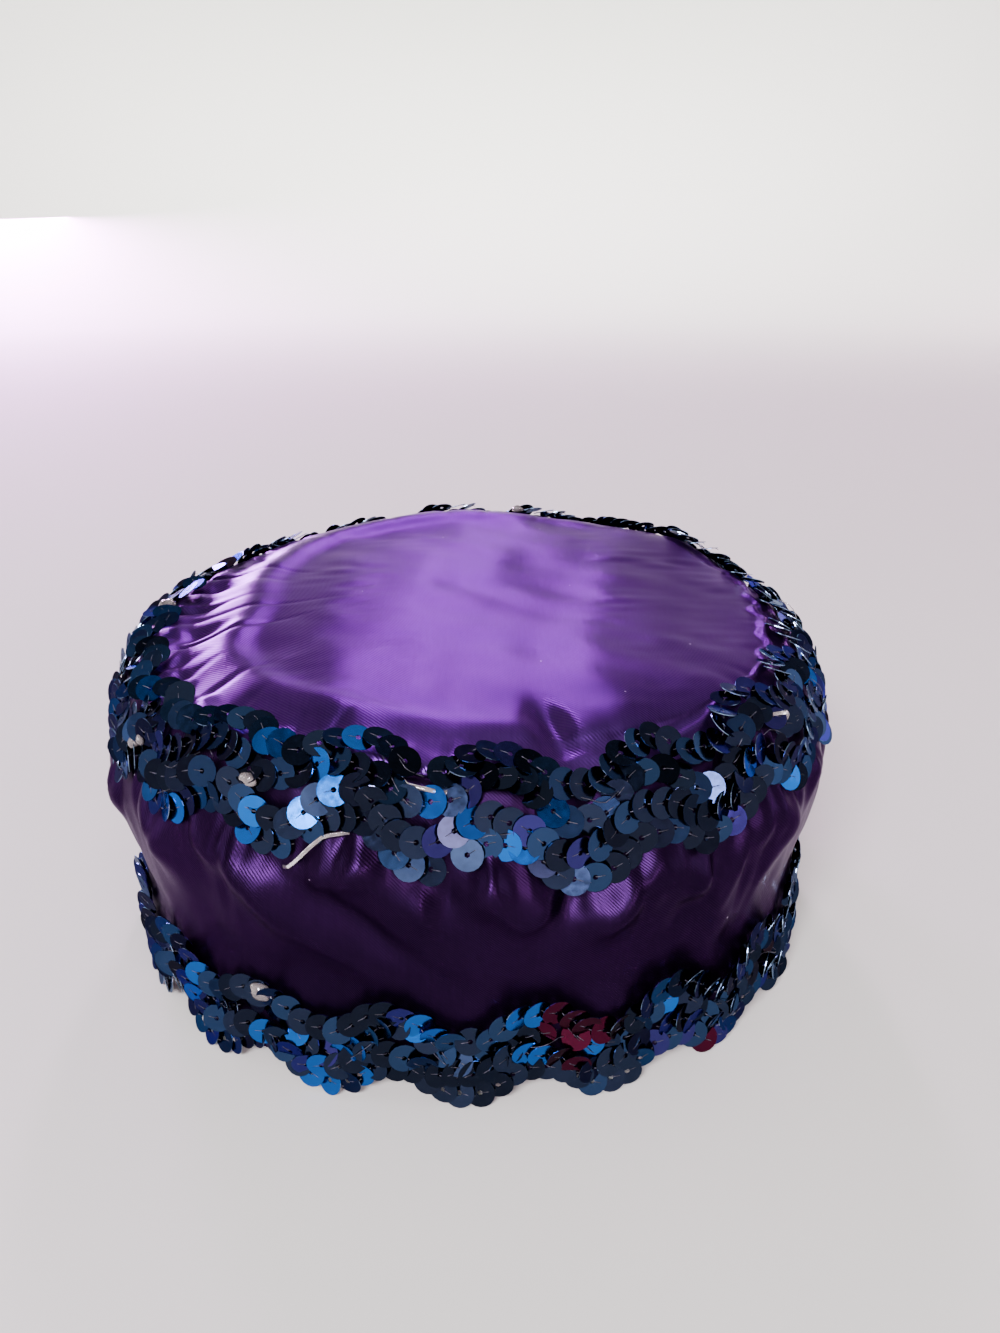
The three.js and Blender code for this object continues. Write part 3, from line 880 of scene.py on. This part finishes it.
def stitchTree():
    # a stitch from each sequin's hole over its low side to the next
    tree, entry, out = newTree("stitches", [("Reach", "Float", 0.003), ("Thread", "Float", 0.0002),
                                            *turnSockets])
    arch = node(tree, "GeometryNodeCurvePrimitiveBezierSegment", mode="OFFSET")
    arch.inputs["Resolution"].default_value = 4
    arch.inputs["Start"].default_value = (0, 0, -0.0001)
    arch.inputs["Start Handle"].default_value = (0, 0, 0.0005)
    arch.inputs["End Handle"].default_value = (0.0001, 0, 0.0008)
    far = node(tree, "ShaderNodeCombineXYZ")
    link(tree, entry, "Reach", far, "X")
    far.inputs["Z"].default_value = -0.0006
    link(tree, far, "Vector", arch, "End")
    profile = node(tree, "GeometryNodeCurvePrimitiveCircle")
    profile.inputs["Resolution"].default_value = 4
    half = node(tree, "ShaderNodeMath", operation="MULTIPLY")
    half.inputs[1].default_value = 0.5
    link(tree, entry, "Thread", half, 0)
    tree.links.new(half.outputs[0], profile.inputs["Radius"])
    strand = node(tree, "GeometryNodeCurveToMesh")
    strand.inputs["Fill Caps"].default_value = True
    link(tree, arch, "Curve", strand, "Curve")
    link(tree, profile, "Curve", strand, "Profile Curve")
    copies = node(tree, "GeometryNodeInstanceOnPoints")
    link(tree, entry, "Geometry", copies, "Points")
    link(tree, strand, "Mesh", copies, "Instance")
    link(tree, sequinTurn(tree, entry), "Rotation", copies, "Rotation")
    real = node(tree, "GeometryNodeRealizeInstances")
    link(tree, copies, "Instances", real, "Geometry")
    coat = node(tree, "GeometryNodeSetMaterial")
    link(tree, real, "Geometry", coat, "Geometry")
    link(tree, entry, "Material", coat, "Material")
    link(tree, coat, "Geometry", out, "Geometry")
    return tree


def dressed(name, points, tree, values):
    # runs a tree over the points and keeps its result as a plain mesh
    modifier = points.modifiers.new("dress", "NODES")
    modifier.node_group = tree
    for socket in tree.interface.items_tree:
        if socket.in_out == "INPUT" and socket.name in values:
            modifier[socket.identifier] = values[socket.name]
    graph = bpy.context.evaluated_depsgraph_get()
    graph.update()
    result = points.evaluated_get(graph)
    mesh = bpy.data.meshes.new_from_object(result, preserve_all_data_layers=True, depsgraph=graph)
    points.modifiers.remove(modifier)
    mesh.name = name
    piece = bpy.data.objects.new(name, mesh)
    bpy.context.collection.objects.link(piece)
    return piece


sequins, stitches = sequinTree(), stitchTree()
for trim in (topTrim, hemTrim):
    rng = np.random.default_rng(trim["seed"])
    rows = [chain(trim, row, rng) for row in range(trim["rows"])]
    where, out, ahead = (np.concatenate(parts) for parts in zip(*rows))
    kept = rng.random(len(where)) > sequin["missing"]
    where, out, ahead = where[kept], out[kept], ahead[kept]
    points = pointMesh(trim["name"] + "Points", where, tonesAndPaintedReflections(trim, where, rng), facing=out, ahead=ahead)
    shared = {
        "Tilt": float(sequin["tilt"]), "Tilt Spread": float(sequin["tiltSpread"]),
        "Roll": float(sequin["roll"]), "Roll Spread": float(sequin["rollSpread"]), "Seed": trim["seed"]}
    band = dressed(trim["name"], points, sequins, {
        **shared, "Diameter": sequin["diameter"], "Hole": sequin["hole"], "Film": sequin["film"],
        "Material": film})
    seat(band, "sequins", trim["node"])
    thread = dressed(trim["name"].replace("Sequins", "Stitches"), points, stitches, {
        **shared, "Reach": sequin["diameter"] * sequin["threadReach"], "Thread": sequin["threadWidth"],
        "Material": clearThread})
    seat(thread, "sequins")
    bpy.data.objects.remove(points)
    print(trim["name"], "made:", len(where), "sequins,", len(band.data.polygons), "faces")


# clear strips, loose threads and dried drops of glue among the sequins

# trim, from and to angle, from and to share of the trim's width, and how far it stands off
strips = [(topTrim, -21, -13, -0.07, 0.06, 0.0013), (topTrim, -8, -1, 0.78, 0.74, 0.0009),
          (topTrim, 93, 97, 0.35, 0.75, 0.0024), (topTrim, 44, 49, 0.62, 0.8, 0.002),
          (topTrim, 150, 157, 0.1, 0.3, 0.0016), (hemTrim, -30, -24, 0.85, 0.75, 0.0018),
          (hemTrim, 205, 212, 0.8, 0.9, 0.0014)]
strip = {"width": 0.0008, "thickness": 0.0002}
# trim, angle, share of the trim's width, and radius
drops = [(topTrim, -93, 1.0, 0.0026), (topTrim, -26, 0.55, 0.0017), (topTrim, -51, 0.3, 0.0016),
         (topTrim, -48.5, 0.36, 0.0013), (topTrim, 47, 0.72, 0.0014), (topTrim, 171, 0.85, 0.0016),
         (hemTrim, -27, 0.8, 0.0024), (hemTrim, 62, 0.7, 0.0014), (hemTrim, 214, 0.6, 0.0016)]
# shortest and longest are degrees round the hat
looseThreads = {"count": 90, "width": 0.00014, "shortest": 3, "longest": 8, "seed": 31}


def overTrim(trim, fromAngle, toAngle, fromShare, toShare, rise, low=0.0006):
    # a path over a trim, with the way out of the satin at each point
    at, share = np.linspace(fromAngle, toAngle, 12), np.linspace(fromShare, toShare, 12)
    place, normal = onSatin(at, lambda seam: trimEdge(trim, at, seam) + share * trim["width"])
    arch = low + rise * np.sin(np.linspace(0, math.pi, 12))
    path = toSpace(at, place + normal * arch[:, None])
    path[:, 2] = np.maximum(path[:, 2], 0.0004)
    return path, toSpace(at, normal)


def ribbonPart(path, out, width, thickness):
    along = np.gradient(path, axis=0)
    across = np.cross(along, out)
    across /= np.linalg.norm(across, axis=1, keepdims=True)
    corners = np.arange(6) * math.pi / 3
    rings = [path + across * math.cos(c) * width / 2 + out * math.sin(c) * thickness / 2 for c in corners]
    points = np.stack(rings, 1).reshape(-1, 3)
    faces = ringFaces(6, len(path)) + [list(range(5, -1, -1)), [len(points) - 6 + k for k in range(6)]]
    return points, faces


def joinParts(name, parts, material):
    points, faces, start = [], [], 0
    for partPoints, partFaces in parts:
        points.append(partPoints)
        faces += [[start + k for k in face] for face in partFaces]
        start += len(partPoints)
    return newPiece(name, np.concatenate(points), faces, material)


def dropPart(trim, at, share, radius, seed):
    ball = bmesh.new()
    bmesh.ops.create_icosphere(ball, subdivisions=3, radius=1)
    shape = np.array([v.co for v in ball.verts])
    faces = [[v.index for v in f.verts] for f in ball.faces]
    ball.free()
    shape *= (1 + 0.13 * ripples(shape[:, 0] + shape[:, 2], shape[:, 1] - shape[:, 2], 1.6, seed))[:, None]
    path, out = overTrim(trim, at, at + 0.5, share, share, 0, 0.0016)
    out = out[0]
    side = np.cross([0, 0, 1], out)
    side /= np.linalg.norm(side)
    axes = np.stack([side * radius, np.cross(out, side) * radius * 0.8, out * radius * 0.6])
    return path[0] + shape @ axes, faces


rng = np.random.default_rng(looseThreads["seed"])
threadParts = []
for k in range(looseThreads["count"]):
    trim = (topTrim, hemTrim)[k % 3 == 2]
    start, span = rng.uniform(-180, 180), rng.uniform(looseThreads["shortest"], looseThreads["longest"])
    fromShare, toShare = rng.uniform(0.12, 0.9, 2)
    rise = rng.uniform(0.0006, 0.0021)
    path, out = overTrim(trim, start, start + span, fromShare, mix(fromShare, toShare, 0.5), rise)
    threadParts.append(ribbonPart(path, out, looseThreads["width"], looseThreads["width"]))
threads = joinParts("looseThreads", threadParts, clearThread)
seat(threads, "sequins")
stripParts = [ribbonPart(*overTrim(*row), strip["width"], strip["thickness"]) for row in strips]
clearStrips = joinParts("clearStrips", stripParts, clearGlue)
seat(clearStrips, "sequins")
glue = joinParts("glueDrops", [dropPart(*row, k) for k, row in enumerate(drops)], clearGlue)
seat(glue, "sequins")
print("strips, threads and glue made")


# stage, lights and camera

stage = {"floorRadius": 1.1, "bend": 0.7, "height": 2.2, "sides": 96}


def backdrop():
    # a round cove: a flat floor that turns up all round in one sweep
    profile = [(stage["floorRadius"] * k / 6, 0) for k in range(1, 7)]
    for k in range(1, 13):
        a = math.pi / 2 * k / 12
        out, up = stage["bend"] * math.sin(a), stage["bend"] * (1 - math.cos(a))
        profile.append((stage["floorRadius"] + out, up))
    profile.append((stage["floorRadius"] + stage["bend"], stage["height"]))
    angles = np.arange(stage["sides"]) * 2 * math.pi / stage["sides"]
    across, along = np.cos(angles), np.sin(angles)
    rings = [np.stack([r * across, r * along, np.full(angles.shape, z)], -1) for r, z in profile]
    points = np.concatenate([*rings, [[0, 0, 0]]])
    faces = ringFaces(stage["sides"], len(rings), flip=True)
    faces += [[i, (i + 1) % stage["sides"], len(points) - 1] for i in range(stage["sides"])]
    paint, _, _ = newMaterial("palePaper", Base_Color=(0.62, 0.635, 0.565, 1), Roughness=0.85)
    cove = newPiece("backdrop", points, faces, paint)


def areaLight(name, place, target, size, power, color=(1, 1, 1), spread=180):
    data = bpy.data.lights.new(name, "AREA")
    data.spread = math.radians(spread)
    data.shape = "RECTANGLE"
    data.size, data.size_y = size
    data.energy = power
    data.color = color
    lamp = bpy.data.objects.new(name, data)
    lamp.visible_camera = False
    back = (Vector(place) - Vector(target)).normalized()
    lamp.rotation_euler = back.to_track_quat("Z", "Y").to_euler()
    lamp.location = place
    bpy.context.collection.objects.link(lamp)


def camera():
    # fitted to both trims in the photo: 22 degrees down, 289 mm in front of the hat's middle
    data = bpy.data.cameras.new("photoCamera")
    data.lens = 36 * 1300 / 1333  # a focal length of 1300 px, in a photo 1333 px high
    data.sensor_width = 36
    data.dof.use_dof = False
    data.clip_start = 0.01
    pitch, yaw, roll = math.radians(22.0), math.radians(-0.73), math.radians(0.19)
    made = bpy.data.objects.new("photoCamera", data)
    tilt = Matrix.Rotation(math.pi / 2 - pitch, 4, "X")
    turned = Matrix.Rotation(yaw, 4, "Z") @ tilt @ Matrix.Rotation(roll, 4, "Z")
    made.matrix_world = Matrix.Translation((0.0034, -0.2889, 0.1724)) @ turned
    bpy.context.collection.objects.link(made)
    bpy.context.scene.camera = made


backdrop()
areaLight("streakLight", (-0.07, 1.3, 0.92), (0, 0, 0.07), (0.1, 0.42), 12.2, (0.96, 0.6, 1))
areaLight("leftLight", (-0.6, 1.3, 0.15), (-0.05, 0, 0.07), (0.24, 0.2), 40, (0.86, 0.34, 1))
areaLight("rightLight", (0.78, 1.15, 0.16), (0.05, 0, 0.07), (0.16, 0.2), 3, (1, 0.5, 0.85))
areaLight("overheadLight", (0, 0.1, 1.7), (0, 0, 0), (1.2, 1.2), 4.5)
areaLight("backdropLight", (0, 0.8, 1.5), (0, 1.5, 0.1), (1.4, 0.5), 18, (1, 1, 1), 55)
areaLight("frontLight", (-0.3, -1.15, 0.85), (0, 0, 0.05), (0.44, 0.2), 44, (0.95, 0.88, 1))
areaLight("lowLeftLight", (-0.6, -1.2, 0.28), (0, 0, 0.05), (0.5, 0.26), 5, (0.9, 0.92, 1))
areaLight("lowRightLight", (0.52, -1.2, 0.5), (0, 0, 0.05), (0.36, 0.16), 9, (1, 0.72, 0.9))
areaLight("leftSideLight", (-1.3, 0.1, 0.3), (0, 0, 0.05), (0.6, 0.4), 4, (0.92, 0.95, 1))
areaLight("rightSideLight", (1.3, 0.1, 0.3), (0, 0, 0.05), (0.6, 0.4), 3, (0.95, 0.95, 1))
world = bpy.data.worlds.new("softRoom")
world.use_nodes = True
world.node_tree.nodes["Background"].inputs["Color"].default_value = (0.95, 0.97, 1, 1)
world.node_tree.nodes["Background"].inputs["Strength"].default_value = 0.2
bpy.context.scene.world = world
camera()
print("stage, lights and camera made")
